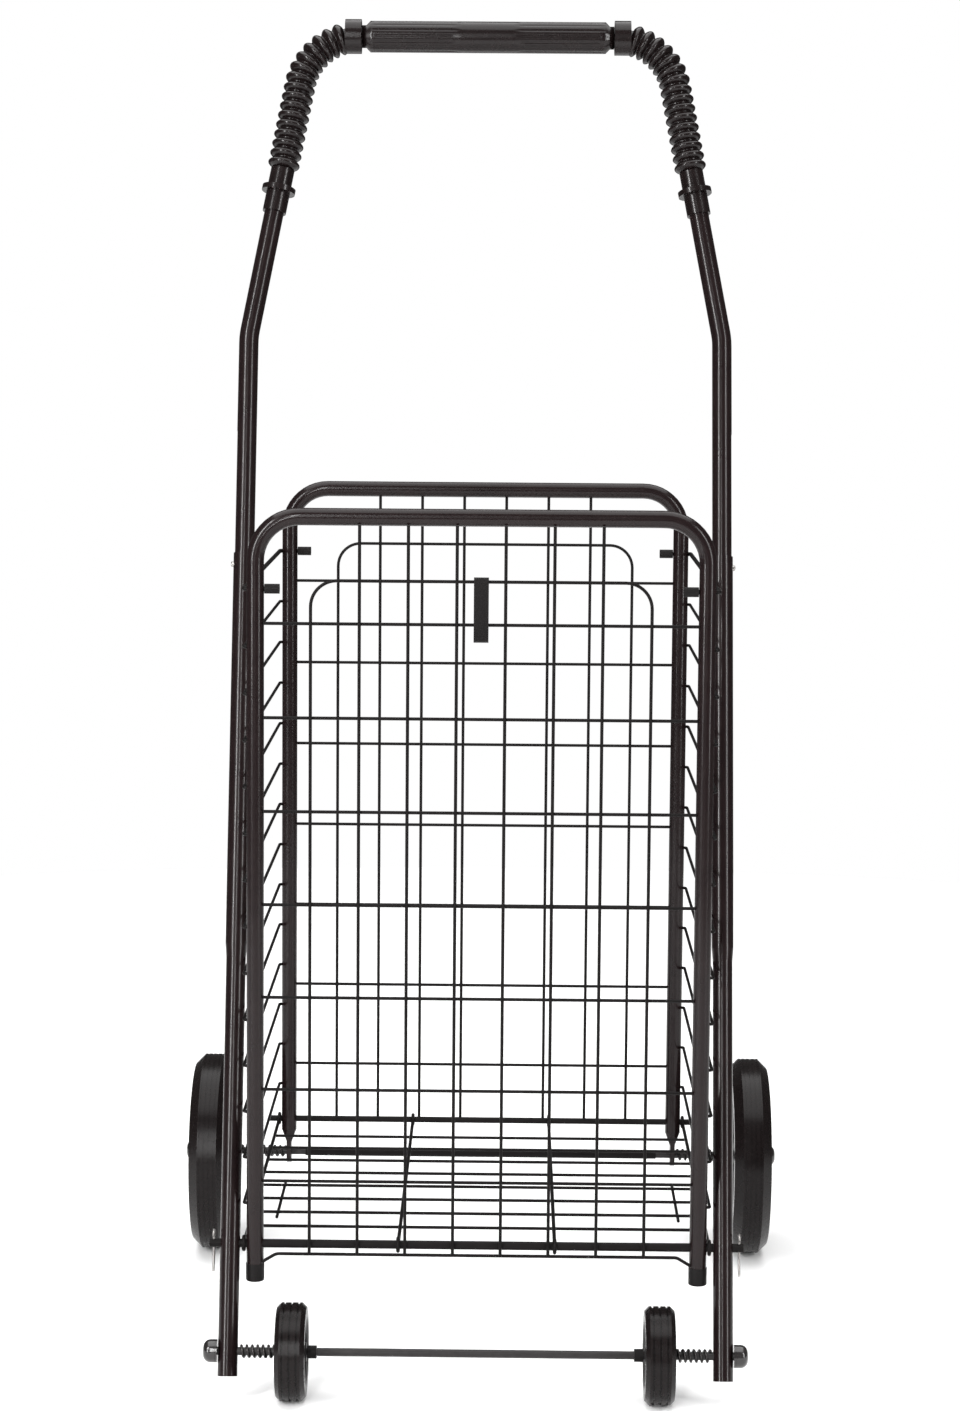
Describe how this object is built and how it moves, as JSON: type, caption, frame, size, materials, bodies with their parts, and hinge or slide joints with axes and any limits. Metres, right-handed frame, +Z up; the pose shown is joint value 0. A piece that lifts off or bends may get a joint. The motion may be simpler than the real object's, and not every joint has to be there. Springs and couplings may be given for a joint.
{
  "type": "folding four-wheel shopping basket trolley",
  "caption": "Black folding steel wire basket trolley with big rear wheels, small front wheels and a height-adjustable push handle with ribbed grip sleeves.",
  "frame": {"origin": "midpoint of the bounding box, on the floor", "axes": "+Z up, +Y toward the big rear wheels, +X to the right seen from the front"},
  "size_m": [0.504, 0.5374, 1.0259],
  "materials": {
    "frame_paint": "glossy black powder coat",
    "wire_paint": "satin black coat on wire",
    "trim_plastic": "black moulded plastic",
    "zinc_wire": "dull zinc",
    "axle_steel": "dull steel",
    "cap_steel": "blackened pressed steel",
    "spring_steel": "blackened spring steel",
    "grip_plastic": "soft glossy black plastic",
    "button_steel": "plated steel",
    "tyre_rubber": "matt dark foam rubber",
    "wheel_plastic": "black moulded wheel"
  },
  "bodies": {
    "rear_frame": {"rear_hoop": "frame_paint", "rear_grid": "wire_paint", "rear_rail": "wire_paint", "rear_axle": "axle_steel", "rear_axle_sleeve": "wire_paint", "rear_axle_springs": "spring_steel", "rear_axle_washers": "cap_steel", "rear_axle_caps": "cap_steel"},
    "floor": {"floor_grid": "wire_paint"},
    "front_frame": {"front_hoop": "frame_paint", "front_grid": "wire_paint", "front_leg_cap_left": "trim_plastic", "front_leg_cap_right": "trim_plastic", "pivot_bar": "wire_paint", "split_pins": "zinc_wire"},
    "clip": {"latch_clip": "trim_plastic"},
    "top_link": {"top_rods": "wire_paint", "top_rod_nuts_front": "trim_plastic", "top_rod_nuts_rear": "trim_plastic"},
    "main_legs": {"leg_left": "frame_paint", "leg_right": "frame_paint", "front_axle": "axle_steel", "front_axle_washers": "cap_steel", "front_axle_caps": "cap_steel", "front_axle_collars": "trim_plastic", "front_axle_springs": "spring_steel"},
    "button_left": {"snap_button_left": "button_steel"},
    "button_right": {"snap_button_right": "button_steel"},
    "handle": {"handle_tube": "frame_paint", "grip_centre": "grip_plastic", "grip_collars": "grip_plastic", "ribbed_sleeve_left": "grip_plastic", "ribbed_sleeve_right": "grip_plastic", "sleeve_cuff_left": "grip_plastic", "sleeve_cuff_right": "grip_plastic"},
    "link_01": {"side_wires_01": "wire_paint"},
    "link_02": {"side_wires_02": "wire_paint"},
    "link_03": {"side_wires_03": "wire_paint"},
    "link_04": {"side_wires_04": "wire_paint"},
    "link_05": {"side_wires_05": "wire_paint"},
    "link_06": {"side_wires_06": "wire_paint"},
    "link_07": {"side_wires_07": "wire_paint"},
    "link_08": {"side_wires_08": "wire_paint"},
    "link_09": {"side_wires_09": "wire_paint"},
    "link_10": {"side_wires_10": "wire_paint"},
    "link_11": {"side_wires_11": "wire_paint"},
    "link_12": {"side_wires_12": "wire_paint"},
    "link_13": {"side_wires_13": "wire_paint"},
    "rear_roller_left": {"rear_tyre_left": "tyre_rubber", "rear_wheel_left": "wheel_plastic"},
    "front_roller_left": {"front_tyre_left": "tyre_rubber", "front_wheel_left": "wheel_plastic"},
    "rear_roller_right": {"rear_tyre_right": "tyre_rubber", "rear_wheel_right": "wheel_plastic"},
    "front_roller_right": {"front_tyre_right": "tyre_rubber", "front_wheel_right": "wheel_plastic"}
  },
  "joints": [
    {"name": "floor_fold", "type": "hinge", "parent": "rear_frame", "child": "floor", "pos_m": [0, 0.1824, 0.112], "axis": [1, 0, 0], "range_deg": [0, 75]},
    {"name": "link_fold_01", "type": "hinge", "parent": "rear_frame", "child": "link_01", "pos_m": [0, 0.1824, 0.556], "axis": [1, 0, 0], "range_deg": [0, 75]},
    {"name": "link_fold_02", "type": "hinge", "parent": "rear_frame", "child": "link_02", "pos_m": [0, 0.1824, 0.52155], "axis": [1, 0, 0], "range_deg": [0, 75]},
    {"name": "link_fold_03", "type": "hinge", "parent": "rear_frame", "child": "link_03", "pos_m": [0, 0.1824, 0.4871], "axis": [1, 0, 0], "range_deg": [0, 75]},
    {"name": "link_fold_04", "type": "hinge", "parent": "rear_frame", "child": "link_04", "pos_m": [0, 0.1824, 0.45265], "axis": [1, 0, 0], "range_deg": [0, 75]},
    {"name": "link_fold_05", "type": "hinge", "parent": "rear_frame", "child": "link_05", "pos_m": [0, 0.1824, 0.4182], "axis": [1, 0, 0], "range_deg": [0, 75]},
    {"name": "link_fold_06", "type": "hinge", "parent": "rear_frame", "child": "link_06", "pos_m": [0, 0.1824, 0.38375], "axis": [1, 0, 0], "range_deg": [0, 75]},
    {"name": "link_fold_07", "type": "hinge", "parent": "rear_frame", "child": "link_07", "pos_m": [0, 0.1824, 0.3493], "axis": [1, 0, 0], "range_deg": [0, 75]},
    {"name": "link_fold_08", "type": "hinge", "parent": "rear_frame", "child": "link_08", "pos_m": [0, 0.1824, 0.31485], "axis": [1, 0, 0], "range_deg": [0, 75]},
    {"name": "link_fold_09", "type": "hinge", "parent": "rear_frame", "child": "link_09", "pos_m": [0, 0.1824, 0.2804], "axis": [1, 0, 0], "range_deg": [0, 75]},
    {"name": "link_fold_10", "type": "hinge", "parent": "rear_frame", "child": "link_10", "pos_m": [0, 0.1824, 0.24595], "axis": [1, 0, 0], "range_deg": [0, 75]},
    {"name": "link_fold_11", "type": "hinge", "parent": "rear_frame", "child": "link_11", "pos_m": [0, 0.1824, 0.2115], "axis": [1, 0, 0], "range_deg": [0, 75]},
    {"name": "link_fold_12", "type": "hinge", "parent": "rear_frame", "child": "link_12", "pos_m": [0, 0.1824, 0.17705], "axis": [1, 0, 0], "range_deg": [0, 75]},
    {"name": "link_fold_13", "type": "hinge", "parent": "rear_frame", "child": "link_13", "pos_m": [0, 0.1824, 0.1426], "axis": [1, 0, 0], "range_deg": [0, 75]},
    {"name": "top_link_fold", "type": "hinge", "parent": "rear_frame", "child": "top_link", "pos_m": [0, 0.1824, 0.5985], "axis": [1, 0, 0], "range_deg": [0, 75]},
    {"name": "front_swing", "type": "hinge", "parent": "floor", "child": "front_frame", "pos_m": [0, -0.2116, 0.112], "axis": [1, 0, 0], "range_deg": [-75, 0]},
    {"name": "leg_swing", "type": "hinge", "parent": "front_frame", "child": "main_legs", "pos_m": [0, -0.2116, 0.112], "axis": [1, 0, 0], "range_deg": [0, 15.4]},
    {"name": "handle_height", "type": "slide", "parent": "main_legs", "child": "handle", "axis": [0, 0.2656, 0.9641], "range_m": [-0.1, 0]},
    {"name": "button_press_left", "type": "slide", "parent": "main_legs", "child": "button_left", "axis": [1, 0, 0], "range_m": [0, 0.0018], "stiffness_N_per_m": 800},
    {"name": "rear_spin_left", "type": "hinge", "parent": "rear_frame", "child": "rear_roller_left", "pos_m": [-0.2285, 0.1864, 0.0825], "axis": [1, 0, 0], "continuous": true},
    {"name": "front_spin_left", "type": "hinge", "parent": "main_legs", "child": "front_roller_left", "pos_m": [-0.1355, -0.23253, 0.036], "axis": [1, 0, 0], "continuous": true},
    {"name": "button_press_right", "type": "slide", "parent": "main_legs", "child": "button_right", "axis": [-1, 0, 0], "range_m": [0, 0.0018], "stiffness_N_per_m": 800},
    {"name": "rear_spin_right", "type": "hinge", "parent": "rear_frame", "child": "rear_roller_right", "pos_m": [0.2285, 0.1864, 0.0825], "axis": [1, 0, 0], "continuous": true},
    {"name": "front_spin_right", "type": "hinge", "parent": "main_legs", "child": "front_roller_right", "pos_m": [0.1355, -0.23253, 0.036], "axis": [1, 0, 0], "continuous": true},
    {"name": "clip_swing", "type": "hinge", "parent": "front_frame", "child": "clip", "pos_m": [0, -0.2163, 0.605], "axis": [-1, 0, 0], "range_deg": [0, 110]}
  ],
  "couplings": [
    {"joint": "link_fold_01", "follows": "floor_fold", "ratio": 1},
    {"joint": "link_fold_02", "follows": "floor_fold", "ratio": 1},
    {"joint": "link_fold_03", "follows": "floor_fold", "ratio": 1},
    {"joint": "link_fold_04", "follows": "floor_fold", "ratio": 1},
    {"joint": "link_fold_05", "follows": "floor_fold", "ratio": 1},
    {"joint": "link_fold_06", "follows": "floor_fold", "ratio": 1},
    {"joint": "link_fold_07", "follows": "floor_fold", "ratio": 1},
    {"joint": "link_fold_08", "follows": "floor_fold", "ratio": 1},
    {"joint": "link_fold_09", "follows": "floor_fold", "ratio": 1},
    {"joint": "link_fold_10", "follows": "floor_fold", "ratio": 1},
    {"joint": "link_fold_11", "follows": "floor_fold", "ratio": 1},
    {"joint": "link_fold_12", "follows": "floor_fold", "ratio": 1},
    {"joint": "link_fold_13", "follows": "floor_fold", "ratio": 1},
    {"joint": "top_link_fold", "follows": "floor_fold", "ratio": 1},
    {"joint": "front_swing", "follows": "floor_fold", "ratio": -1},
    {"joint": "leg_swing", "follows": "floor_fold", "ratio": 0.205}
  ]
}
